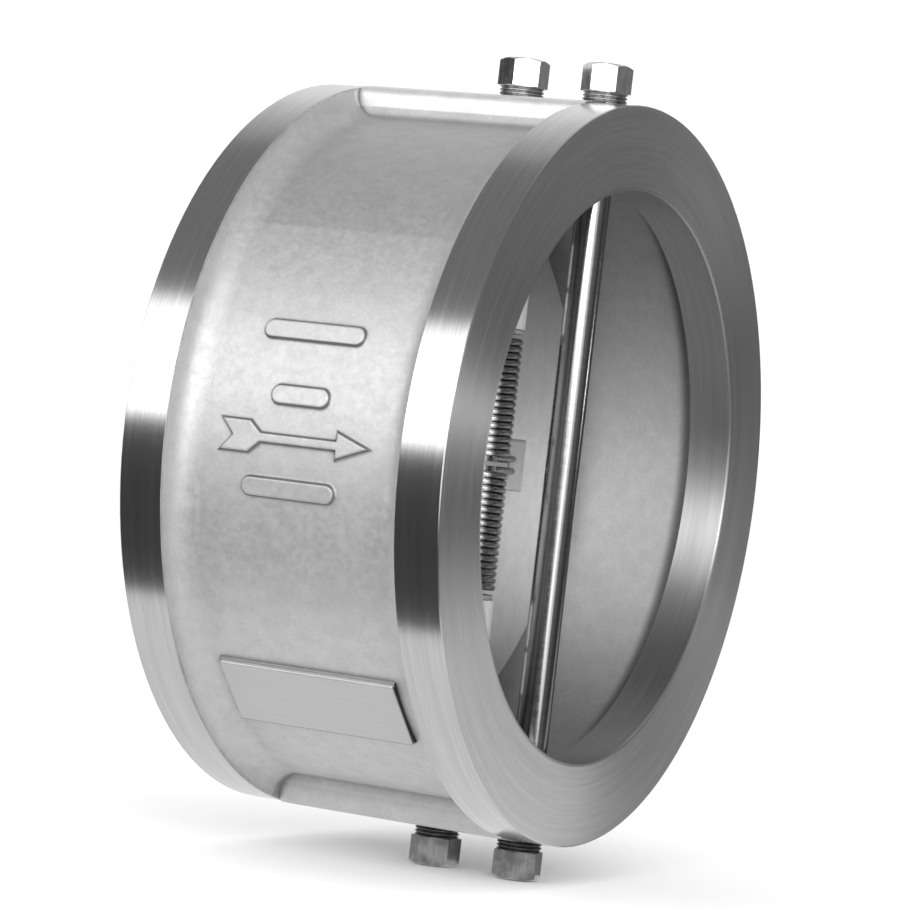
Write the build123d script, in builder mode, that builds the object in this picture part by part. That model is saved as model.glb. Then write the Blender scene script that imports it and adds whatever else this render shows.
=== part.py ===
from build123d import *
import os
from math import asin, atan2, cos, degrees, hypot, pi, radians, sin, tan

# Dual-plate wafer check valve, DN 200, PN 10. Flow runs along +X. The origin is on the bore axis,
# half way between the two gasket faces. The hinge pin and the stop pin run along Z.

# Driving dimensions, mm
FACE_TO_FACE = 127.0
BODY_R = 136.5           # machined rims, inside the circle of flange bolts
RIM_WIDTH = 17.0
RECESS_R = 126.5         # as-cast middle of the body
FLANK_R = 10.0           # concave fillet from the recess up to each rim
FACE_CHAMFER = 0.4
OUTLET_R = 105.5
CHAMBER_R = 112.0
CHAMBER_FILLET = 4.0
SEAT_R = 96.0
INLET_R = 100.0
SEAT_FACE_X = -13.8      # metal face that carries the elastomer
SEAT_WEB = 10.0
INLET_TAPER = 10.0
BAR_WIDTH = 26.0         # centre bar of the seat
BAR_NOSE = 14.0

BOSS_R = 137.0
BOSS_WIDTH = 50.0        # at the crest
BOSS_DRAFT = 15.0        # slope of the sides, degrees
BOSS_EDGE_R = 4.0
BOSS_FOOT_R = 3.0
BOSS_INNER_R = 121.5       # inside the shell, where the section of the bosses stops
CAST_OVERLAP = 4.0       # how far cast features reach into the shell that carries them

PIN_R = 6.35
PIN_HOLE_R = 6.42
PIN_END = 124.0
PIN_CHAMFER = 1.0
PIN_END_PLAY = 0.5
PIN_CUT_LENGTH = 300.0     # drill that passes through the whole body
HINGE_X = 8.0
STOP_X = 42.4
STUB_R = 11.0            # cast stubs that hold the hinge pin inside the chamber
STUB_END = 86.8

PLATE_R = 103.5
PLATE_THICKNESS = 8.0
PLATE_BACK_X = -3.6
PLATE_GAP = 1.2          # from the centre plane to each plate's straight edge
PLATE_CHAMFER = 1.5
LUG_R = 11.3
LUG_LENGTH = 16.0
LUG_WEB_FOOT = 27.0
LUG_WEB_START = 3.5
LUG_WEB_ANGLE = 32.0     # where the web leaves the barrel
LUG_ROOT = 1.0
OPEN_ANGLE = 80.0
STOP_CLEARANCE = 0.2
STOP_LUG_HEIGHT = 20.0
STOP_LUG_START = 14.0
STOP_LUG_END = 39.5
STOP_LUG_FOOT = 4.0
STOP_LUG_EDGE_R = 1.2

WASHER_R = 10.5
WASHER_BORE_R = 6.5
WASHER_THICKNESS = 1.6
STACK_GAP = 0.2

SEAT_OUTER_R = 107.6
SEAT_THICKNESS = 2.0
SEAT_SET_BACK = 0.4

WIRE_R = 1.25
BEND_R = 1.3             # where the coil turns into its legs
COIL_R = 10.0
COIL_PITCH = 2.6
COIL_TURNS = 17
COIL_START_Z = 2.3
LEG_LIFT = 0.35
SHORT_LEG = 26.0
LONG_LEG = 44.0

THREAD_R = 8.33          # R 3/8 taper plug, drawn as a straight thread
THREAD_HOLE_R = 8.4
THREAD_PITCH = 1.337
THREAD_DEPTH = 0.86
THREAD_CREST = (0.4, 0.6)   # where each crest starts and ends, as shares of the pitch
THREAD_MOUTH = 30.0
PLUG_BOTTOM = 126.0
HEX_BOTTOM = 140.9
HEX_TOP = 151.3
HEX_FLATS = 16.4
HEX_CROWN_INSET = 0.6
HEX_CROWN_SLOPE = 0.6
HINGE_PLUG_TURN = 33.0
STOP_PLUG_TURN = 17.0

PAD_ANGLE = 45.0
PAD_DISTANCE = 126.6
PAD_LENGTH = 71.0
PAD_WIDTH = 30.0
PAD_DEPTH = 8.0
NAMEPLATE_THICKNESS = 1.8
NAMEPLATE_INSET = 0.15
NAMEPLATE_CORNER = 1.0
NAMEPLATE_EDGE_R = 0.8

MARK_RELIEF = 1.3
MARK_ROOT = 1.0          # how far each mark reaches into the body
MARK_DRAFT = 35.0
ARROW_Z = 1.0
ARROW_LENGTH = 57.0
ARROW_SHAFT = 2.6
ARROW_HEAD_LENGTH = 11.5
ARROW_HEAD_WIDTH = 8.6
ARROW_TAIL_LENGTH = 15.0
ARROW_TAIL_WIDTH = 10.4
ARROW_NOTCH = 4.5
BAR_MARKS = ((39.0, 0.0, 39.0), (16.5, 0.0, 22.0), (-16.0, -1.0, 36.0))
BAR_MARK_HEIGHT = 6.0
BAR_MARK_END_R = 2.9

HALF_LENGTH = FACE_TO_FACE / 2
RIM_EDGE_X = HALF_LENGTH - RIM_WIDTH
PLATE_FRONT_X = PLATE_BACK_X - PLATE_THICKNESS
# The top of each stop lug meets the stop pin when the plate has opened by OPEN_ANGLE.
STOP_LUG_X = HINGE_X - (PIN_R + STOP_CLEARANCE - (STOP_X - HINGE_X) * cos(radians(OPEN_ANGLE)))
PAD_NORMAL = Vector(0, -cos(radians(PAD_ANGLE)), -sin(radians(PAD_ANGLE)))


def pad_plane(distance):
    """Plane parallel to the identification pad, at a distance from the bore axis."""
    return Plane(origin=PAD_NORMAL * distance, x_dir=(1, 0, 0), z_dir=PAD_NORMAL)


def shell_profile():
    """Half section of the round shell, x along the flow, y the radius."""
    with BuildLine() as line:
        Polyline(
            (-RIM_EDGE_X, BODY_R),
            (-HALF_LENGTH + FACE_CHAMFER, BODY_R),
            (-HALF_LENGTH, BODY_R - FACE_CHAMFER),
            (-HALF_LENGTH, INLET_R + FACE_CHAMFER),
            (-HALF_LENGTH + FACE_CHAMFER, INLET_R),
            (SEAT_FACE_X - SEAT_WEB - INLET_TAPER, INLET_R),
            (SEAT_FACE_X - SEAT_WEB, SEAT_R),
            (SEAT_FACE_X, SEAT_R),
            (SEAT_FACE_X, CHAMBER_R - CHAMBER_FILLET),
        )
        RadiusArc(
            (SEAT_FACE_X, CHAMBER_R - CHAMBER_FILLET),
            (SEAT_FACE_X + CHAMBER_FILLET, CHAMBER_R),
            CHAMBER_FILLET,
        )
        Line((SEAT_FACE_X + CHAMBER_FILLET, CHAMBER_R), (RIM_EDGE_X - CHAMBER_FILLET, CHAMBER_R))
        RadiusArc(
            (RIM_EDGE_X - CHAMBER_FILLET, CHAMBER_R),
            (RIM_EDGE_X, CHAMBER_R - CHAMBER_FILLET),
            CHAMBER_FILLET,
        )
        Polyline(
            (RIM_EDGE_X, CHAMBER_R - CHAMBER_FILLET),
            (RIM_EDGE_X, OUTLET_R),
            (HALF_LENGTH - FACE_CHAMFER, OUTLET_R),
            (HALF_LENGTH, OUTLET_R + FACE_CHAMFER),
            (HALF_LENGTH, BODY_R - FACE_CHAMFER),
            (HALF_LENGTH - FACE_CHAMFER, BODY_R),
            (RIM_EDGE_X, BODY_R),
        )
        RadiusArc((RIM_EDGE_X, BODY_R), (RIM_EDGE_X - FLANK_R, RECESS_R), FLANK_R)
        Line((RIM_EDGE_X - FLANK_R, RECESS_R), (-RIM_EDGE_X + FLANK_R, RECESS_R))
        RadiusArc((-RIM_EDGE_X + FLANK_R, RECESS_R), (-RIM_EDGE_X, BODY_R), FLANK_R)
    return line.line


def corner_radius(vertex):
    return hypot(vertex.X, vertex.Y)


def boss_points():
    """Outline that cuts both bosses from a disc. Their sides slope outwards from the crests."""
    crest = BOSS_WIDTH / 2
    waist = crest + BOSS_R * tan(radians(BOSS_DRAFT))
    return [(crest, BOSS_R), (waist, 0), (crest, -BOSS_R), (-crest, -BOSS_R), (-waist, 0), (-crest, BOSS_R)]


def arrow_points():
    """Outline of the flow arrow, pointing along x."""
    tip = ARROW_LENGTH / 2
    neck = tip - ARROW_HEAD_LENGTH
    tail = -ARROW_LENGTH / 2
    shoulder = tail + ARROW_TAIL_LENGTH
    upper = [
        (tip, 0),
        (neck, ARROW_HEAD_WIDTH / 2),
        (neck, ARROW_SHAFT / 2),
        (shoulder, ARROW_SHAFT / 2),
        (shoulder - ARROW_NOTCH, ARROW_TAIL_WIDTH / 2),
        (tail, ARROW_TAIL_WIDTH / 2),
        (tail + ARROW_NOTCH, 0),
    ]
    lower = [(x, -y) for x, y in reversed(upper[1:-1])]
    return upper + lower


def mark_plane(z):
    """Plane at the crest of a mark, touching the cast middle of the body at height z."""
    slope = asin(z / RECESS_R)
    normal = Vector(0, -cos(slope), sin(slope))
    return Plane(origin=normal * (RECESS_R + MARK_RELIEF), x_dir=(1, 0, 0), z_dir=normal)


def make_marks():
    """Flow arrow and plain bars, raised on the cast middle of the body, with sloped sides."""
    depth = MARK_RELIEF + MARK_ROOT
    with BuildPart() as marks:
        with BuildSketch(mark_plane(ARROW_Z)):
            Polygon(*arrow_points(), align=None)
        extrude(amount=-depth, taper=-MARK_DRAFT)
        for z, x, length in BAR_MARKS:
            with BuildSketch(mark_plane(z)):
                with Locations((x, 0)):
                    RectangleRounded(length, BAR_MARK_HEIGHT, BAR_MARK_END_R)
            extrude(amount=-depth, taper=-MARK_DRAFT)
    return marks.part


def make_body():
    marks = make_marks()
    with BuildPart() as body:
        with BuildSketch(Plane.XZ):
            make_face(shell_profile())
        revolve(axis=Axis.X)

        # top and bottom bosses, one section run from rim to rim
        with BuildSketch(Plane.YZ.offset(-RIM_EDGE_X)) as boss:
            Circle(BOSS_R)
            Polygon(*boss_points(), align=None, mode=Mode.INTERSECT)
            Circle(RECESS_R)
            foot = boss.vertices().filter_by(lambda v: abs(corner_radius(v) - RECESS_R) < 1)
            fillet(foot, BOSS_FOOT_R)
            edge = boss.vertices().filter_by(lambda v: abs(corner_radius(v) - BOSS_R) < 1)
            fillet(edge, BOSS_EDGE_R)
            Circle(BOSS_INNER_R, mode=Mode.SUBTRACT)
        extrude(amount=2 * RIM_EDGE_X)

        # centre bar of the seat, with a rounded nose towards the inlet
        with BuildSketch(Plane.XY):
            with BuildLine():
                Polyline(
                    (SEAT_FACE_X - SEAT_WEB, BAR_WIDTH / 2),
                    (SEAT_FACE_X, BAR_WIDTH / 2),
                    (SEAT_FACE_X, -BAR_WIDTH / 2),
                    (SEAT_FACE_X - SEAT_WEB, -BAR_WIDTH / 2),
                )
                ThreePointArc(
                    (SEAT_FACE_X - SEAT_WEB, -BAR_WIDTH / 2),
                    (SEAT_FACE_X - SEAT_WEB - BAR_NOSE, 0),
                    (SEAT_FACE_X - SEAT_WEB, BAR_WIDTH / 2),
                )
            make_face()
        extrude(amount=INLET_R + CAST_OVERLAP, both=True)

        # stubs for the hinge pin, at the top and bottom of the chamber
        for side in (1, -1):
            with BuildSketch(Plane.XY.offset(side * STUB_END)):
                with Locations((HINGE_X, 0)):
                    Circle(STUB_R)
            extrude(amount=side * (CHAMBER_R + CAST_OVERLAP - STUB_END))

        # identification pad
        with BuildSketch(pad_plane(PAD_DISTANCE)):
            Rectangle(PAD_LENGTH, PAD_WIDTH)
        extrude(amount=-PAD_DEPTH)
        add(marks)

        # pin holes, with a wider threaded mouth for each retainer
        with Locations((HINGE_X, 0, 0), (STOP_X, 0, 0)):
            Cylinder(PIN_HOLE_R, PIN_CUT_LENGTH, mode=Mode.SUBTRACT)
        for side in (1, -1):
            with BuildSketch(Plane.XY.offset(side * (PIN_END + PIN_END_PLAY))):
                with Locations((HINGE_X, 0), (STOP_X, 0)):
                    Circle(THREAD_HOLE_R)
            extrude(amount=side * THREAD_MOUTH, mode=Mode.SUBTRACT)
    return body.part


def make_seat():
    """Elastomer facing: a ring with a bar across its middle."""
    with BuildPart() as seat:
        with BuildSketch(Plane.YZ.offset(SEAT_FACE_X)):
            Circle(SEAT_OUTER_R)
            Circle(SEAT_R + SEAT_SET_BACK, mode=Mode.SUBTRACT)
            Rectangle(BAR_WIDTH - 2 * SEAT_SET_BACK, SEAT_R + SEAT_OUTER_R)
        extrude(amount=SEAT_THICKNESS)
    return seat.part


def lug_heights():
    """Z of the lower end of the inner and the outer lug on the top half."""
    inner = STUB_END - 2 * LUG_LENGTH - 2 * WASHER_THICKNESS - 4 * STACK_GAP
    outer = STUB_END - LUG_LENGTH - WASHER_THICKNESS - 2 * STACK_GAP
    return inner, outer


def make_right_plate():
    """Half disc with two hinge lugs and a stop lug on its downstream face."""
    inner, outer = lug_heights()
    web_angle = radians(LUG_WEB_ANGLE)
    web_end = (HINGE_X + LUG_R * sin(web_angle), LUG_R * cos(web_angle))
    with BuildPart() as plate:
        with BuildSketch(Plane.YZ.offset(PLATE_FRONT_X)):
            Circle(PLATE_R)
            with Locations((PLATE_GAP + PLATE_R, 0)):
                Rectangle(2 * PLATE_R, 3 * PLATE_R, mode=Mode.INTERSECT)
        extrude(amount=PLATE_THICKNESS)
        rim = plate.edges().filter_by(GeomType.CIRCLE).sort_by(Axis.X)[-1]
        chamfer(rim, PLATE_CHAMFER)

        # hinge lugs, each a barrel and a web down to the plate
        for z in (inner, -outer - LUG_LENGTH):
            with BuildSketch(Plane.XY.offset(z)):
                with Locations((HINGE_X, 0)):
                    Circle(LUG_R)
                with BuildLine():
                    Polyline(
                        (PLATE_BACK_X - LUG_ROOT, LUG_WEB_START),
                        (PLATE_BACK_X - LUG_ROOT, LUG_WEB_FOOT),
                        (PLATE_BACK_X, LUG_WEB_FOOT),
                        web_end,
                        (HINGE_X, 0),
                        (HINGE_X - PLATE_THICKNESS, LUG_WEB_START),
                        close=True,
                    )
                make_face()
                with Locations((HINGE_X, 0)):
                    Circle(PIN_HOLE_R, mode=Mode.SUBTRACT)
            extrude(amount=LUG_LENGTH)

        # stop lug
        with BuildSketch(Plane.XY.offset(-STOP_LUG_HEIGHT / 2)):
            with BuildLine():
                Polyline(
                    (PLATE_BACK_X - LUG_ROOT, STOP_LUG_START),
                    (STOP_LUG_X, STOP_LUG_START),
                    (STOP_LUG_X, STOP_LUG_END),
                    (PLATE_BACK_X - LUG_ROOT, STOP_LUG_END + STOP_LUG_FOOT),
                    close=True,
                )
            make_face()
        extrude(amount=STOP_LUG_HEIGHT)
        top = plate.faces().filter_by(Axis.X).sort_by(Axis.X)[-1]
        fillet(top.edges(), STOP_LUG_EDGE_R)
    return plate.part


def make_washer(bottom):
    with BuildPart() as washer:
        with BuildSketch(Plane.XY.offset(bottom)):
            with Locations((HINGE_X, 0)):
                Circle(WASHER_R)
                Circle(WASHER_BORE_R, mode=Mode.SUBTRACT)
        extrude(amount=WASHER_THICKNESS)
    return washer.part


def make_pin(x):
    with BuildPart() as pin:
        with BuildSketch(Plane.XY.offset(-PIN_END)):
            with Locations((x, 0)):
                Circle(PIN_R)
        extrude(amount=2 * PIN_END)
        chamfer(pin.edges().filter_by(GeomType.CIRCLE), PIN_CHAMFER)
    return pin.part


def make_upper_spring():
    """Torsion spring: a short leg on the right plate's stop lug, a long leg on the left plate."""
    leg_x = STOP_LUG_X + LEG_LIFT + WIRE_R
    start_angle = degrees(atan2(COIL_R, leg_x - HINGE_X))
    turns = COIL_TURNS + (180 - start_angle) / 360
    height = turns * COIL_PITCH
    path = Pos(HINGE_X, 0, COIL_START_Z) * Rot(0, 0, start_angle) * Helix(COIL_PITCH, height, COIL_R)
    with BuildPart() as spring:
        with BuildSketch(Plane(origin=path @ 0, z_dir=path % 0)):
            Circle(WIRE_R)
        sweep(path=path, is_frenet=True)
        with Locations(path @ 0, path @ 1):
            Sphere(BEND_R)
        with BuildSketch(Plane(origin=path @ 0, z_dir=(0, 1, 0))):
            Circle(WIRE_R)
        extrude(amount=SHORT_LEG - COIL_R)
        with BuildSketch(Plane(origin=path @ 1, z_dir=path % 1)):
            Circle(WIRE_R)
        extrude(amount=LONG_LEG)
    return spring.part


def make_retainer(x, turn):
    """Hexagon-head pipe plug on the top side, with its thread drawn as plain ridges."""
    root_x = x + THREAD_R - THREAD_DEPTH
    ridges = int((HEX_BOTTOM - PLUG_BOTTOM) / THREAD_PITCH)
    points = [(x, PLUG_BOTTOM), (root_x, PLUG_BOTTOM)]
    for i in range(ridges):
        z = PLUG_BOTTOM + (i + 0.5) * THREAD_PITCH
        points.append((root_x, z))
        points += [(x + THREAD_R, z + share * THREAD_PITCH) for share in THREAD_CREST]
    points.append((root_x, z + THREAD_PITCH))
    points.append((root_x, HEX_BOTTOM + THREAD_DEPTH))
    points.append((x, HEX_BOTTOM + THREAD_DEPTH))
    with BuildPart() as plug:
        with BuildSketch(Plane.XZ):
            with BuildLine():
                Polyline(*points, close=True)
            make_face()
        revolve(axis=Axis((x, 0, 0), (0, 0, 1)))
        add(make_hex_head(x, turn))
    return plug.part


def make_hex_head(x, turn):
    corner_r = HEX_FLATS / 2 / cos(pi / 6)
    crown_r = HEX_FLATS / 2 - HEX_CROWN_INSET
    shoulder = (corner_r - crown_r) * HEX_CROWN_SLOPE
    with BuildPart() as head:
        with BuildSketch(Plane.XY.offset(HEX_BOTTOM)):
            with Locations((x, 0)):
                RegularPolygon(corner_r, 6, rotation=turn)
        extrude(amount=HEX_TOP - HEX_BOTTOM)
        with BuildSketch(Plane.XZ):
            with BuildLine():
                Polyline(
                    (x, HEX_BOTTOM),
                    (x + corner_r, HEX_BOTTOM),
                    (x + corner_r, HEX_TOP - shoulder),
                    (x + crown_r, HEX_TOP),
                    (x, HEX_TOP),
                    close=True,
                )
            make_face()
        revolve(axis=Axis((x, 0, 0), (0, 0, 1)), mode=Mode.INTERSECT)
    return head.part


def make_nameplate():
    with BuildPart() as nameplate:
        with BuildSketch(pad_plane(PAD_DISTANCE)):
            RectangleRounded(
                PAD_LENGTH - 2 * NAMEPLATE_INSET, PAD_WIDTH - 2 * NAMEPLATE_INSET, NAMEPLATE_CORNER
            )
        extrude(amount=NAMEPLATE_THICKNESS)
        outside = nameplate.faces().sort_by_distance(PAD_NORMAL * (BODY_R + PAD_DISTANCE))[0]
        fillet(outside.edges(), NAMEPLATE_EDGE_R)
    return nameplate.part


def half_turn(shape):
    """The same piece turned by half a turn about the flow axis."""
    return shape.rotate(Axis.X, 180)


def make_parts():
    inner, outer = lug_heights()
    right_plate = make_right_plate()
    spring = make_upper_spring()
    pieces = {
        "body": make_body(),
        "seat": make_seat(),
        "plate_right": right_plate,
        "plate_left": half_turn(right_plate),
        "hinge_pin": make_pin(HINGE_X),
        "stop_pin": make_pin(STOP_X),
        "spring_upper": spring,
        "spring_lower": mirror(spring, about=Plane.XY),
        "spring_spacer": make_washer(-WASHER_THICKNESS / 2),
        "nameplate": make_nameplate(),
    }
    stack = {
        "spring_bearing": inner - STACK_GAP - WASHER_THICKNESS,
        "plate_bearing": inner + LUG_LENGTH + STACK_GAP,
        "body_bearing": outer + LUG_LENGTH + STACK_GAP,
    }
    for name, bottom in stack.items():
        washer = make_washer(bottom)
        pieces[name + "_top"] = washer
        pieces[name + "_bottom"] = half_turn(washer)
    for name, x, turn in (
        ("hinge_pin_retainer", HINGE_X, HINGE_PLUG_TURN),
        ("stop_pin_retainer", STOP_X, STOP_PLUG_TURN),
    ):
        plug = make_retainer(x, turn)
        pieces[name + "_top"] = plug
        pieces[name + "_bottom"] = half_turn(plug)
    return pieces


os.makedirs("parts", exist_ok=True)
for name, piece in make_parts().items():
    piece.label = name
    export_step(piece, f"parts/{name}.step")
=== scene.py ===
from math import atan2, ceil, cos, pi, radians, sin

import bmesh
import bpy
from mathutils import Matrix, Vector


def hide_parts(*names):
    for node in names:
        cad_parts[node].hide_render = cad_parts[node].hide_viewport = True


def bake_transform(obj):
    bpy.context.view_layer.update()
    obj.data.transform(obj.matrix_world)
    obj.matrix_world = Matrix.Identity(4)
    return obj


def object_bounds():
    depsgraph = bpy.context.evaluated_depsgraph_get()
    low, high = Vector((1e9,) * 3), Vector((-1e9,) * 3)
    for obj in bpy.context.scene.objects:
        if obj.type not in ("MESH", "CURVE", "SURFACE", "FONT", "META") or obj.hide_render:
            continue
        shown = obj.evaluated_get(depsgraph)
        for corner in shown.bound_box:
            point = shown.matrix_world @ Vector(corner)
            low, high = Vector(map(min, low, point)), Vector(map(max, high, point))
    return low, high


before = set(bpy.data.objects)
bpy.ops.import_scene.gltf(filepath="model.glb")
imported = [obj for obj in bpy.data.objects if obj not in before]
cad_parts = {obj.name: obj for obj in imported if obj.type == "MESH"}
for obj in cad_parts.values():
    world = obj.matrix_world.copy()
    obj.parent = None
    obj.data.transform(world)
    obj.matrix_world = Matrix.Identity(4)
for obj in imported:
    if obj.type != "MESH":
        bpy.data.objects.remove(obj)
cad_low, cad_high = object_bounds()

# Dual-plate wafer check valve. Flow runs along +X, both pins run along Z, and the outlet face looks
# towards +X. Lengths are in metres; the materials and the springs work in millimetres.
MM = 0.001

HINGE_X = 8.0
STOP_X = 42.4
FLANK_LINE = (0.89, 0.45)   # line across the pins: shares along the flow and towards the right plate

scene = bpy.context.scene


# ---------------------------------------------------------------------------------- node helpers

class Shade:
    """Builds one material, node by node. A value is a number, a colour, a vector or a socket."""

    def __init__(self, name):
        self.mat = bpy.data.materials.new(name)
        self.mat.use_nodes = True
        self.tree = self.mat.node_tree
        self.tree.nodes.clear()
        self.out = self.tree.nodes.new("ShaderNodeOutputMaterial")
        place = self.node("ShaderNodeTexCoord").outputs["Object"]
        self.point = self.vector("SCALE", place, scale=1 / MM)
        self.x, self.y, self.z = self.split(self.point)

    def node(self, kind, **settings):
        made = self.tree.nodes.new(kind)
        for key, value in settings.items():
            setattr(made, key, value)
        return made

    def put(self, socket, value):
        if isinstance(value, bpy.types.NodeSocket):
            self.tree.links.new(value, socket)
        else:
            socket.default_value = value

    def vector(self, operation, a, scale=None):
        made = self.node("ShaderNodeVectorMath", operation=operation)
        self.put(made.inputs[0], a)
        if scale is not None:
            self.put(made.inputs["Scale"], scale)
        return made.outputs["Vector"]

    def split(self, value):
        made = self.node("ShaderNodeSeparateXYZ")
        self.put(made.inputs[0], value)
        return made.outputs

    def join(self, x, y, z):
        made = self.node("ShaderNodeCombineXYZ")
        for socket, value in zip(made.inputs, (x, y, z)):
            self.put(socket, value)
        return made.outputs[0]

    def math(self, operation, a, b=0.0):
        made = self.node("ShaderNodeMath", operation=operation)
        for socket, value in zip(made.inputs, (a, b)):
            self.put(socket, value)
        return made.outputs[0]

    def add(self, a, b):
        return self.math("ADD", a, b)

    def minus(self, a, b):
        return self.math("SUBTRACT", a, b)

    def size(self, value):
        """The value without its sign."""
        return self.math("ABSOLUTE", value)

    def times(self, *values):
        """Product of the values."""
        product = values[0]
        for value in values[1:]:
            product = self.math("MULTIPLY", product, value)
        return product

    def away(self, a, b):
        """Distance from an axis, from the two coordinates across it."""
        return self.math("SQRT", self.add(self.times(a, a), self.times(b, b)))

    def hinge_radius(self):
        """Distance from the axis of the hinge pin."""
        return self.away(self.minus(self.x, HINGE_X), self.y)

    def flank(self, axis_x):
        """Place across an upright bar, growing towards the outlet and the right plate."""
        along, across = FLANK_LINE
        return self.add(self.times(self.minus(self.x, axis_x), along), self.times(self.y, across))

    def ease(self, value, low, high, to_low=0.0, to_high=1.0):
        """Smooth step of value from low to high."""
        made = self.node("ShaderNodeMapRange", interpolation_type="SMOOTHSTEP")
        for socket, number in zip(made.inputs, (value, low, high, to_low, to_high)):
            self.put(socket, number)
        return made.outputs[0]

    def vary(self, noise, low, high, reach=0.2):
        """Noise as a value from low to high. It stays mostly within reach of a half."""
        return self.ease(noise, 0.5 - reach, 0.5 + reach, low, high)

    def above(self, value, place, soft):
        """One where value is past place and zero before it, with a step as soft as asked."""
        return self.ease(value, place - soft, place + soft)

    def below(self, value, place, soft):
        """One where value is short of place and zero past it."""
        return self.ease(value, place - soft, place + soft, 1.0, 0.0)

    def darker(self, mask, share):
        """A factor that takes that share away where the mask is one."""
        return self.minus(1.0, self.times(mask, share))

    def brighter(self, mask, share):
        """A factor that adds that share where the mask is one."""
        return self.add(self.times(mask, share), 1.0)

    def mix(self, factor, a, b):
        return self.add(self.times(self.minus(1.0, factor), a), self.times(factor, b))

    def noise(self, vector, scale, detail=2.0, roughness=0.5, distortion=0.0):
        made = self.node("ShaderNodeTexNoise")
        self.put(made.inputs["Vector"], vector)
        self.put(made.inputs["Scale"], scale)
        self.put(made.inputs["Detail"], detail)
        self.put(made.inputs["Roughness"], roughness)
        self.put(made.inputs["Distortion"], distortion)
        return made.outputs["Fac"]

    def tint(self, value, colour):
        """A grey level times a colour."""
        return self.vector("SCALE", colour, scale=value)

    def bevel(self, radius, samples=4):
        made = self.node("ShaderNodeBevel", samples=samples)
        made.inputs["Radius"].default_value = radius
        return made.outputs[0]

    def corners(self, reach, darkest):
        """Painted shade: one on open faces, down to darkest in corners and along the foot of a step."""
        made = self.node("ShaderNodeAmbientOcclusion", samples=8)
        made.inputs["Distance"].default_value = reach
        return self.ease(made.outputs["AO"], 0.5, 0.92, darkest, 1.0)

    def bump(self, height, depth, normal=None):
        made = self.node("ShaderNodeBump")
        made.inputs["Distance"].default_value = depth
        self.put(made.inputs["Height"], height)
        if normal is not None:
            self.put(made.inputs["Normal"], normal)
        return made.outputs[0]

    def surface(self, colour, roughness, normal, metallic=1.0, tangent=None, anisotropy=0.0, specular=0.5):
        made = self.node("ShaderNodeBsdfPrincipled")
        self.put(made.inputs["Base Color"], colour)
        self.put(made.inputs["Roughness"], roughness)
        self.put(made.inputs["Normal"], normal)
        made.inputs["Metallic"].default_value = metallic
        made.inputs["Anisotropic"].default_value = anisotropy
        made.inputs["Specular IOR Level"].default_value = specular
        if tangent is not None:
            # a quarter turn stretches the highlights across the tangent
            self.put(made.inputs["Tangent"], tangent)
            made.inputs["Anisotropic Rotation"].default_value = 0.25
        return made.outputs[0]

    def finish(self, shader):
        self.tree.links.new(shader, self.out.inputs["Surface"])
        return self.mat

    def blend(self, factor, a, b):
        made = self.node("ShaderNodeMixShader")
        self.put(made.inputs[0], factor)
        self.tree.links.new(a, made.inputs[1])
        self.tree.links.new(b, made.inputs[2])
        return made.outputs[0]


STEEL = (1.0, 1.0, 1.0)
RING_CHANGE = 3.2        # how much the turned rings change on their way round


def cast_layer(s, level, roughness, normal, shade):
    """Bead-blasted cast steel: fine grain, shallow waviness, faint mottling and painted shade in corners.
    """
    grain = s.noise(s.point, 1.1, detail=4.0, roughness=0.62)
    pits = s.noise(s.point, 0.42, detail=3.0, roughness=0.55, distortion=0.3)
    waves = s.noise(s.point, 0.055, detail=2.0)
    mottle = s.noise(s.point, 0.16, detail=3.0, roughness=0.6)
    height = s.add(s.times(grain, 0.35), s.add(s.times(pits, 0.5), s.times(waves, 2.4)))
    # the grey carries painted shade in corners and the painted light and shade given as shade
    grey = s.times(s.vary(mottle, 0.95, 1.04), level, s.vary(grain, 0.955, 1.04),
                   s.corners(0.0035, 0.3), shade)
    rough = s.vary(pits, roughness - 0.05, roughness + 0.05)
    return s.surface(s.tint(grey, STEEL), rough, s.bump(height, 0.00011, normal),
                     metallic=0.75, specular=0.3)


def turned_layer(s, radius, along, level, roughness, normal):
    """Lathe-turned steel: fine rings round the flow axis that stretch every highlight across them."""
    ring = s.join(s.add(along, radius),
                  s.times(s.math("DIVIDE", s.y, radius), RING_CHANGE),
                  s.times(s.math("DIVIDE", s.z, radius), RING_CHANGE))
    streaks = s.noise(ring, 1.1, detail=2.0, roughness=0.6)
    coarse = s.noise(ring, 0.35, detail=2.0)
    grey = s.times(s.vary(streaks, 0.94, 1.06, reach=0.25), level, s.vary(coarse, 0.97, 1.03))
    rough = s.add(s.vary(coarse, -0.008, 0.008, reach=0.25), roughness)
    round_axis = s.join(0.0, s.times(s.z, -1.0), s.y)
    return s.surface(s.tint(grey, STEEL), rough, s.bump(coarse, 0.0000003, normal),
                     tangent=s.vector("NORMALIZE", round_axis), anisotropy=0.85)


# ------------------------------------------------------------------------------------- materials

# Where the finish of the body changes, and where light and shade are painted on it
RIM_EDGE_X = 46.5        # start of each machined rim
SHELL_R = 118.5          # between the chamber wall and the outside of the cast middle
BORE_R = 106.75          # between the outlet bore and its gasket face
BOSS_FOOT_R = 130.2      # the bosses stand out past this radius
BOSS_FOOT_Y = 29.5
BOSS_FOOT_Z = 119.5
# edge of the upper recess that is painted darker
UPPER_RECESS_ANGLE = radians(37.2)
MARK_SIDE_R = (126.75, 127.7)
MARK_TOP_Z = 51.0
MARK_END_X = 34.0
PAD_END_X = (35.3, 35.7)
PAD_EDGE = -65.0         # on the pad, y and z are both below this
NAMEPLATE_EDGE = -21.0   # lower edge of the nameplate, as z less y
LIP_MIDDLE_Z = -18.0     # middle of the highlight painted on the bore

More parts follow.
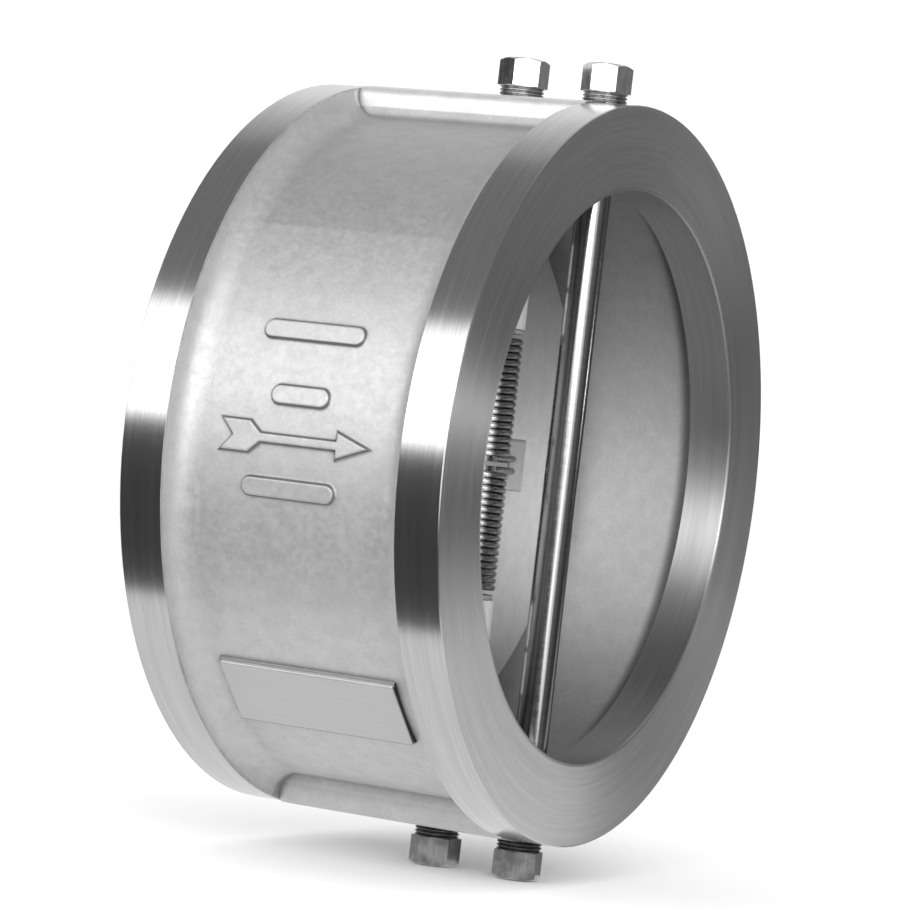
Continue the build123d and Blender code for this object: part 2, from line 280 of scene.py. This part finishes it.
# Where the finish of the other pieces changes, and where light and shade are painted on them
BARREL_R = 11.6          # round the hinge barrels of the plates
LUG_FOOT_X = -3.1        # the stop lug stands out from the back of the plate
LUG_FOOT_R = 12.9
LUG_TOP_Z = 10.6
WIRE_GROOVE_R = (9.6, 11.1)         # between the turns of a spring
HEXAGON_Z = 140.75                  # underside of the plug heads
NAMEPLATE_END_X = (35.2, 35.35)     # its end towards the outlet

# Levels of light that each finish gives back
CAST_LEVEL = 0.49
FLAP_LEVEL = 0.66
TURNED_LEVEL = 0.52
DIM_SHARE = 0.42         # of the painted light, what the top and bottom of the chamber keep


def painted_chamber_light(s, full):
    """Painted light: full value round the middle of the chamber, and painted shade towards its top and
    bottom.
    """
    return s.times(s.ease(s.z, -5.0, 95.0, full, DIM_SHARE * full),
                   s.ease(s.z, -105.0, -45.0, DIM_SHARE, 1.0))


def upper_recess_and_fillet_shade(s, radius, side, wobble):
    """The upper part of the recess is painted darker, up to a clean edge.

    Everywhere, metal is painted a little brighter, as a highlight, where it rises from the recess towards
    the rims.
    """
    climb = s.math("ARCTAN2", s.z, s.size(s.y))
    upper_recess = s.times(s.above(s.add(climb, s.times(wobble, 0.004)), UPPER_RECESS_ANGLE, radians(0.4)),
                     s.below(radius, BOSS_FOOT_R, 0.4), s.above(radius, SHELL_R, 0.5),
                     s.below(s.add(side, wobble), 38.5, 3.5))
    # the upper recess painted darker, and a painted highlight on the fillets up to the rims
    return s.times(s.darker(upper_recess, 0.14), s.ease(radius, 128.0, 135.0, 1.0, 1.08))


def boss_shade(s, radius):
    """Painted light: the top boss is brighter than the recess, and the one underneath a little darker in
    painted shade.
    """
    outside = s.above(radius, BOSS_FOOT_R, 0.4)
    top = s.times(outside, s.above(s.z, BOSS_FOOT_Z, 1.5), s.below(s.size(s.y), BOSS_FOOT_Y + 0.5, 0.5))
    under = s.times(outside, s.below(s.z, -BOSS_FOOT_Z, 1.5))
    return s.times(s.brighter(top, 0.36), s.darker(under, 0.1))


def painted_edge_shade(s, radius, side):
    """Painted shade on the sides of the marks and on the end of the pad."""
    marks = s.times(s.above(radius, MARK_SIDE_R[0], 0.15), s.below(radius, MARK_SIDE_R[1], 0.1),
                    s.below(s.size(s.z), MARK_TOP_Z, 1.0), s.below(side, MARK_END_X, 1.0))
    pad_end = s.times(s.above(s.x, PAD_END_X[0], 0.1), s.below(s.x, PAD_END_X[1], 0.1),
                      s.above(radius, MARK_SIDE_R[0] - 0.1, 0.1),
                      s.below(s.z, PAD_EDGE, 1.0), s.below(s.y, PAD_EDGE, 1.0))
    return s.darker(s.math("MAXIMUM", s.times(marks, 0.58), s.times(pad_end, 0.8)), 1.0)


def painted_contact_shade(s, side):
    """Painted shade along the lower edge of the nameplate and along the feet of the bottom boss."""
    across = s.minus(s.z, s.y)
    under_plate = s.times(s.above(across, NAMEPLATE_EDGE - 2.5, 2.0),
                          s.below(across, NAMEPLATE_EDGE + 2.0, 1.0),
                          s.below(side, PAD_END_X[0] - 0.3, 0.5),
                          s.below(s.y, PAD_EDGE, 1.0), s.below(s.z, PAD_EDGE, 1.0))
    from_foot = s.size(s.minus(s.size(s.y), BOSS_FOOT_Y))
    feet = s.times(s.below(from_foot, 1.65, 1.15), s.below(s.z, 2.0 - BOSS_FOOT_Z, 1.5))
    return s.darker(s.math("MAXIMUM", s.times(under_plate, 0.3), s.times(feet, 0.35)), 1.0)


def body_material():
    """Cast middle, machined rims, gasket faces and bore of the valve body."""
    s = Shade("body_steel")
    radius = s.away(s.y, s.z)
    side = s.size(s.x)
    wobble = s.times(s.minus(s.noise(s.point, 0.09, detail=2.0), 0.5), 1.6)
    machined = s.above(s.add(side, s.times(wobble, 0.15)), RIM_EDGE_X, 0.15)
    # painted light: the chamber is brighter round its middle, with painted shade towards its top and bottom
    # and a painted shadow behind the outlet lip
    depth = s.times(painted_chamber_light(s, 1.45), s.ease(s.x, 38.0, 42.5, 1.0, 0.33))
    shade = s.times(upper_recess_and_fillet_shade(s, radius, side, wobble), boss_shade(s, radius),
                    painted_edge_shade(s, radius, side), painted_contact_shade(s, side),
                    s.mix(s.below(radius, SHELL_R, 0.5), 1.0, depth))
    cast = cast_layer(s, CAST_LEVEL, 0.53, s.bevel(0.0011, samples=6), shade)
    bore = s.below(radius, BORE_R, 0.25)
    # painted highlight on the bore round LIP_MIDDLE_Z, and painted shade on the rest of it
    bore_painted_light = s.ease(s.size(s.minus(s.z, LIP_MIDDLE_Z)), 14.0, 62.0, 0.62, 0.35)
    turned = turned_layer(s, radius, side, s.mix(bore, TURNED_LEVEL, bore_painted_light), s.mix(bore, 0.24, 0.38),
                          s.bevel(0.0003))
    return s.finish(s.blend(machined, cast, turned))


def plate_material():
    """Cast flap with a plain blasted back, painted shade towards the top and bottom of the chamber, a
    painted reflection on the hinge barrels and a darker stop lug.
    """
    s = Shade("plate_steel")
    from_hinge = s.hinge_radius()
    barrel = s.below(from_hinge, BARREL_R, 0.2)
    lug = s.times(s.above(s.x, LUG_FOOT_X, 0.3), s.below(s.size(s.z), LUG_TOP_Z, 0.2),
                  s.above(from_hinge, LUG_FOOT_R, 0.3))
    # painted shade towards the top and bottom of the chamber, a painted reflection on the barrels, and the
    # stop lug darker
    shade = s.times(s.mix(barrel, painted_chamber_light(s, 1.0), 1.25), s.darker(lug, 0.3))
    return s.finish(cast_layer(s, FLAP_LEVEL, 0.5, s.bevel(0.0006), shade))


def pin_material(name, axis_x, level, roughness):
    """Ground and polished round bar, with faint rings round it and painted shade on one flank."""
    s = Shade(name)
    rings = s.noise(s.join(s.times(s.x, 0.05), s.times(s.y, 0.05), s.z), 2.2, detail=3.0)
    # painted shade on the flank towards the outlet and the right plate
    grey = s.times(s.vary(rings, 0.94, 1.04), level, s.ease(s.flank(axis_x), 2.8, 4.6, 1.0, 0.35))
    rough = s.vary(rings, roughness - 0.02, roughness + 0.04)
    return s.finish(s.surface(s.tint(grey, STEEL), rough, s.bevel(0.0002)))


def wire_material():
    """Drawn spring wire, with painted shade between the turns, a painted highlight on the side away from
    the outlet and painted shade on the side that faces it.
    """
    s = Shade("spring_wire")
    specks = s.noise(s.point, 1.6, detail=3.0, roughness=0.6)
    # painted shade between the turns; painted highlight away from the outlet, painted shade on the side
    # towards it
    grey = s.times(s.vary(specks, 0.25, 0.33), s.ease(s.hinge_radius(), *WIRE_GROOVE_R, 0.35, 1.0),
                   s.ease(s.flank(HINGE_X), 3.0, 5.5, 3.0, 0.6))
    rough = s.vary(specks, 0.24, 0.36)
    return s.finish(s.surface(s.tint(grey, STEEL), rough, s.bump(specks, 0.00001), metallic=0.9))


def plug_material():
    """Bright turned pipe plug: polished hexagon, thread darker with oil and painted shade, and the two
    underneath darker with painted shade and patchy stains.
    """
    s = Shade("plug_steel")
    thread = s.below(s.size(s.z), HEXAGON_Z, 0.15)
    streaks = s.noise(s.join(s.x, s.y, s.times(s.z, 0.2)), 0.9, detail=3.0)
    stain = s.noise(s.point, 0.35, detail=4.0, roughness=0.65, distortion=0.6)
    # the thread is darker with oil and painted shade
    grey = s.mix(thread, s.vary(streaks, 0.5, 0.62), s.vary(stain, 0.26, 0.5, reach=0.15))
    # the two plugs underneath get painted shade with patchy stains
    tarnish_and_shade = s.vary(s.noise(s.point, 0.14, detail=2.0), 0.24, 0.44, reach=0.15)
    grey = s.times(grey, s.mix(s.above(s.z, 0.0, 1.0), tarnish_and_shade, 1.0))
    rough = s.mix(thread, s.vary(streaks, 0.14, 0.24), s.vary(stain, 0.3, 0.42))
    return s.finish(s.surface(s.tint(grey, STEEL), rough, s.bump(streaks, 0.000003, s.bevel(0.0003))))


def nameplate_material():
    """Thin plate brushed along its length, with painted shade on its lower edge and on its outlet end."""
    s = Shade("nameplate_steel")
    across = s.minus(s.z, s.y)
    streaks = s.noise(s.join(s.times(s.x, 0.03), s.times(across, 1.6), 0.0), 1.0,
                      detail=4.0, roughness=0.65)
    # painted shade on the lower edge and on the outlet end
    grey = s.times(s.vary(streaks, 0.43, 0.5, reach=0.25),
                   s.ease(across, NAMEPLATE_EDGE + 0.3, NAMEPLATE_EDGE + 2.0, 0.5, 1.0),
                   s.darker(s.ease(s.x, *NAMEPLATE_END_X), 0.85))
    rough = s.vary(streaks, 0.34, 0.46, reach=0.25)
    return s.finish(s.surface(s.tint(grey, STEEL), rough, s.bump(streaks, 0.000008, s.bevel(0.0004)),
                              tangent=s.join(1.0, 0.0, 0.0), anisotropy=0.5, metallic=0.8))


def seat_material():
    """Black elastomer with a matt moulded skin."""
    s = Shade("seat_rubber")
    skin = s.noise(s.point, 1.4, detail=4.0, roughness=0.6)
    bloom = s.noise(s.point, 0.08, detail=3.0)
    grey = s.vary(bloom, 0.018, 0.032)
    rough = s.vary(skin, 0.5, 0.68)
    return s.finish(s.surface(s.tint(grey, (1.0, 0.98, 0.96)), rough,
                              s.bump(skin, 0.00003, s.bevel(0.0003)), metallic=0.0))


def washer_material():
    """Grey filled polymer bearing ring."""
    s = Shade("bearing_polymer")
    flecks = s.noise(s.point, 1.8, detail=4.0, roughness=0.6)
    grey = s.vary(flecks, 0.2, 0.28)
    rough = s.vary(flecks, 0.4, 0.55)
    return s.finish(s.surface(s.tint(grey, (1.0, 0.97, 0.9)), rough,
                              s.bump(flecks, 0.00001, s.bevel(0.0002)), metallic=0.0))


def dress(node, material):
    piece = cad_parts[node]
    piece.data.materials.clear()
    piece.data.materials.append(material)


plug = plug_material()
washer = washer_material()
plate = plate_material()
dress("body", body_material())
dress("plate_left", plate)
dress("plate_right", plate)
dress("hinge_pin", pin_material("hinge_pin_steel", HINGE_X, 0.55, 0.16))
dress("stop_pin", pin_material("stop_pin_steel", STOP_X, 0.42, 0.14))
dress("seat", seat_material())
dress("nameplate", nameplate_material())
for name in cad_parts:
    if "retainer" in name:
        dress(name, plug)
    if "bearing" in name or "spacer" in name:
        dress(name, washer)


# --------------------------------------------------------------------------------------- springs

WIRE_R = 1.25
COIL_R = 10.0
PITCH = 2.6
FULL_TURNS = 17
START_Z = 2.3
LEG_X = 9.02             # short leg, on the stop lug of the right plate
SHORT_LEG_END = 26.0
SHORT_LEG_KNEE = 6.0     # second point of the short leg, this far out from the coil
LONG_LEG = 44.0
BEND = 1.6               # radius of the bend between the coil and the short leg
STEPS = 44               # points in each turn
BEND_STEPS = 6
LEG_SHARES = (0.1, 0.4, 0.7, 1.0)   # where the points along the long leg lie
SIDES = 14               # points round the wire
# Rounded end of the wire: how far ahead each ring lies and how wide it is, in wire radii
DOME = ((0.21, 0.97), (0.45, 0.78), (0.6, 0.4))


def spring_path():
    """Centre line of the upper spring, from the end of the short leg to the end of the long one."""
    first = atan2(COIL_R, LEG_X - HINGE_X)
    turns = FULL_TURNS + (pi - first) / (2 * pi)
    begin = Vector((HINGE_X + COIL_R * cos(first), COIL_R * sin(first), START_Z))
    points = [Vector((begin.x, y, START_Z)) for y in (SHORT_LEG_END, begin.y + SHORT_LEG_KNEE)]
    # the bend turns from the leg's line into the first turn
    for i in range(BEND_STEPS + 1):
        a = i / BEND_STEPS * (pi / 2)
        points.append(begin + Vector((-BEND * (1 - cos(a)), BEND * (1 - sin(a)), 0)))
    count = ceil(turns * STEPS)
    skip = ceil(BEND / (2 * pi * COIL_R) * STEPS) + 1
    for i in range(skip, count + 1):
        share = i / count
        a = first + share * turns * 2 * pi
        points.append(Vector((HINGE_X + COIL_R * cos(a), COIL_R * sin(a), START_Z + share * turns * PITCH)))
    end = points[-1]
    points += [end + Vector((0, -LONG_LEG * share, 0)) for share in LEG_SHARES]
    return points


def tube(name, points, round_first, round_last):
    """Closed wire round a line of points in millimetres. A rounded end is domed, the other is flat."""
    mesh = bmesh.new()
    line = [p.copy() for p in points]
    radii = [WIRE_R] * len(line)
    tangents = []
    for i in range(len(line)):
        tangents.append((line[min(i + 1, len(line) - 1)] - line[max(i - 1, 0)]).normalized())
    if round_first:
        line = [line[0] - tangents[0] * WIRE_R * ahead for ahead, _ in reversed(DOME)] + line
        radii = [WIRE_R * wide for _, wide in reversed(DOME)] + radii
        tangents = [tangents[0]] * len(DOME) + tangents
    if round_last:
        line += [line[-1] + tangents[-1] * WIRE_R * ahead for ahead, _ in DOME]
        radii += [WIRE_R * wide for _, wide in DOME]
        tangents += [tangents[-1]] * len(DOME)
    side = tangents[0].orthogonal().normalized()
    rings = []
    for point, radius, tangent in zip(line, radii, tangents):
        side = (side - tangent * side.dot(tangent)).normalized()
        other = tangent.cross(side)
        rings.append([
            mesh.verts.new((point + radius * (cos(a) * side + sin(a) * other)) * MM)
            for a in (2 * pi * k / SIDES for k in range(SIDES))
        ])
    for a, b in zip(rings, rings[1:]):
        for k in range(SIDES):
            face = mesh.faces.new((a[k], a[(k + 1) % SIDES], b[(k + 1) % SIDES], b[k]))
            face.smooth = True
    for ring, domed in ((list(reversed(rings[0])), round_first), (rings[-1], round_last)):
        cap = mesh.faces.new(ring)
        cap.smooth = domed
        if not domed:
            for edge in cap.edges:
                edge.smooth = False
    bmesh.ops.recalc_face_normals(mesh, faces=mesh.faces)
    data = bpy.data.meshes.new(name)
    mesh.to_mesh(data)
    mesh.free()
    made = bpy.data.objects.new(name, data)
    scene.collection.objects.link(made)
    return made


# Each spring is two pieces that meet at its middle, and its legs ride on the plates.
LEG_MARGIN = WIRE_R + 0.2   # the wire this near to the height of a leg
wire = wire_material()
path = spring_path()
middle_z = (START_Z + path[-1].z) / 2
split = min(range(len(path)), key=lambda i: abs(path[i].z - middle_z))
for half, sign in (("upper", 1), ("lower", -1)):
    line = [Vector((p.x, p.y, sign * p.z)) for p in path]
    for part, points, plate_body, last_z in (
        ("inner", line[:split + 1], "right_plate", START_Z + LEG_MARGIN),
        ("outer", line[split:], "left_plate", path[-1].z - LEG_MARGIN),
    ):
        piece = tube(f"spring_{half}_{part}", points, part == "inner", part == "outer")
        piece.data.materials.append(wire)
        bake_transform(piece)
        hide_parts(f"spring_{half}")


# ---------------------------------------------------------------------------------------- studio

FLOOR_Z = cad_low.z - 0.0002
LAYER = 0.0003           # between the cards that lie on the floor
CARD_FLOOR_Z = FLOOR_Z + LAYER


def flat_mesh(name, corners):
    data = bpy.data.meshes.new(name)
    data.from_pydata([tuple(c) for c in corners], [], [tuple(range(len(corners)))])
    made = bpy.data.objects.new(name, data)
    scene.collection.objects.link(made)
    return made


def floor_material():
    mat = bpy.data.materials.new("pale_floor")
    mat.use_nodes = True
    made = mat.node_tree.nodes["Principled BSDF"]
    made.inputs["Base Color"].default_value = (0.93, 0.93, 0.93, 1)
    made.inputs["Roughness"].default_value = 0.9
    made.inputs["Specular IOR Level"].default_value = 0.0
    return mat


def card(name, corners, level):
    """Studio card that only reflections see. level is how bright it is."""
    made = flat_mesh(name, corners)
    mat = bpy.data.materials.new(name)
    mat.use_nodes = True
    tree = mat.node_tree
    tree.nodes.clear()
    glow = tree.nodes.new("ShaderNodeEmission")
    glow.inputs["Color"].default_value = (level, level, level, 1)
    out = tree.nodes.new("ShaderNodeOutputMaterial")
    tree.links.new(glow.outputs[0], out.inputs["Surface"])
    made.data.materials.append(mat)
    made.visible_camera = False
    made.visible_diffuse = False
    made.visible_shadow = False
    made.visible_transmission = False


def wall(name, start, end, low_z, high_z, level):
    """Upright card over the line from start to end."""
    (x0, y0), (x1, y1) = start, end
    card(name, [(x0, y0, low_z), (x1, y1, low_z), (x1, y1, high_z), (x0, y0, high_z)], level)


def sheet(name, z, outline, level):
    """Level card of that outline."""
    card(name, [(x, y, z) for x, y in outline], level)


def softbox(name, centre, target, width, height, level):
    data = bpy.data.lights.new(name, "AREA")
    data.shape = "RECTANGLE"
    data.size = width
    data.size_y = height
    data.energy = level * pi * width * height
    made = bpy.data.objects.new(name, data)
    scene.collection.objects.link(made)
    made.location = centre
    made.rotation_mode = "QUATERNION"
    made.rotation_quaternion = (Vector(target) - Vector(centre)).to_track_quat("-Z", "Y")
    made.visible_camera = False


FLOOR_R = 30
FLOOR_SIDES = 64
floor = flat_mesh("floor", [
    (FLOOR_R * cos(a), FLOOR_R * sin(a), FLOOR_Z)
    for a in (2 * pi * k / FLOOR_SIDES for k in range(FLOOR_SIDES))
])
floor.data.materials.append(floor_material())

world = bpy.data.worlds.new("studio")
world.use_nodes = True
world.node_tree.nodes["Background"].inputs["Color"].default_value = (1, 1, 1, 1)
world.node_tree.nodes["Background"].inputs["Strength"].default_value = 1.08
scene.world = world

softbox("key", (0.0, -1.2, 0.53), (0.0, 0.0, 0.53), 3.7, 0.90, 1.9)
softbox("fill", (1.0, -1.15, 0.33), (0.0, 0.0, 0.0), 0.8, 0.5, 5.0)
softbox("side", (1.34, 1.34, 0.062), (0.0, 0.0, 0.062), 0.25, 0.035, 18.0)

# Dark flags in front and on the left, and a ceiling in three greys
card("flag_front",
     [(-2.0, -0.19, -0.148), (0.45, -0.19, -0.148), (0.45, -1.0, 0.033), (-2.0, -1.0, 0.033)], 0.07)
wall("flag_left", (-1.55, 0.2), (-1.35, -0.85), -0.15, 0.8, 0.08)
CEILING_Z = 1.3
for name, near, far, level in (
    ("low", -1.9, 0.30, 0.26), ("middle", 0.30, 0.62, 0.55), ("high", 0.62, 1.1, 0.8),
):
    sheet(f"ceiling_{name}", CEILING_Z, [(-2.5, near), (2.6, near), (2.6, far), (-2.5, far)], level)

# Greys behind and on the right, and two bright strips in front
for name, low_z, high_z, level in (("low", -0.15, 0.2, 0.12), ("high", 0.2, 2.0, 0.26)):
    wall(f"grey_back_{name}", (-0.1, 2.0), (2.4, 2.0), low_z, high_z, level)
wall("grey_right", (2.4, 2.0), (1.75, -0.55), -0.15, 2.0, 0.22)
wall("strip_low", (0.9, -0.96), (1.12, -0.68), -0.15, 0.3, 2.6)
wall("strip_high", (0.12, -1.1), (0.7, -1.1), 0.22, 0.52, 5.0)

# Patches of floor that only reflections see
sheet("floor_bright", CARD_FLOOR_Z, [(-0.7, -0.19), (0.4, -0.19), (0.4, 0.8), (-0.7, 0.8)], 0.98)
sheet("floor_dark", CARD_FLOOR_Z + LAYER,
      [(0.0, 0.012), (0.085, 0.02), (0.11, 0.12), (0.2, 0.34), (0.34, 0.6), (1.15, 1.9), (0.0, 1.9)], 0.3)
sheet("floor_side", CARD_FLOOR_Z + 2 * LAYER,
      [(0.3, -0.15), (2.0, -0.6), (2.4, 1.9), (1.7, 1.9), (0.85, 0.87), (0.42, 0.2)], 0.15)
sheet("floor_near", CARD_FLOOR_Z + 2 * LAYER,
      [(0.13, -0.2), (0.3, -0.18), (0.6, -0.4), (0.45, -0.6), (0.1, -0.6)], 0.3)


# ---------------------------------------------------------------------------------------- camera

def studio_camera():
    """Long lens, 27 degrees round from the side towards the outlet, rolled a little."""
    azimuth = radians(27.025)
    elevation = radians(0.582)
    roll = radians(6.54)
    distance = 1.4025
    shift_right, shift_up = 0.000024, 0.000436   # small offset that centres the object
    back = Vector((sin(azimuth) * cos(elevation), -cos(azimuth) * cos(elevation), sin(elevation)))
    level_right = Vector((cos(azimuth), sin(azimuth), 0))
    level_up = back.cross(level_right)
    right = cos(roll) * level_right + sin(roll) * level_up
    up = cos(roll) * level_up - sin(roll) * level_right
    data = bpy.data.cameras.new("camera")
    data.sensor_fit = "HORIZONTAL"
    data.sensor_width = 36
    data.lens = 146.26
    data.clip_start = 0.05
    data.clip_end = 100
    made = bpy.data.objects.new("camera", data)
    scene.collection.objects.link(made)
    turn = Matrix((right, up, back)).transposed().to_4x4()
    made.matrix_world = Matrix.Translation(back * distance - right * shift_right - up * shift_up) @ turn
    scene.camera = made


studio_camera()
scene.view_settings.view_transform = "Standard"
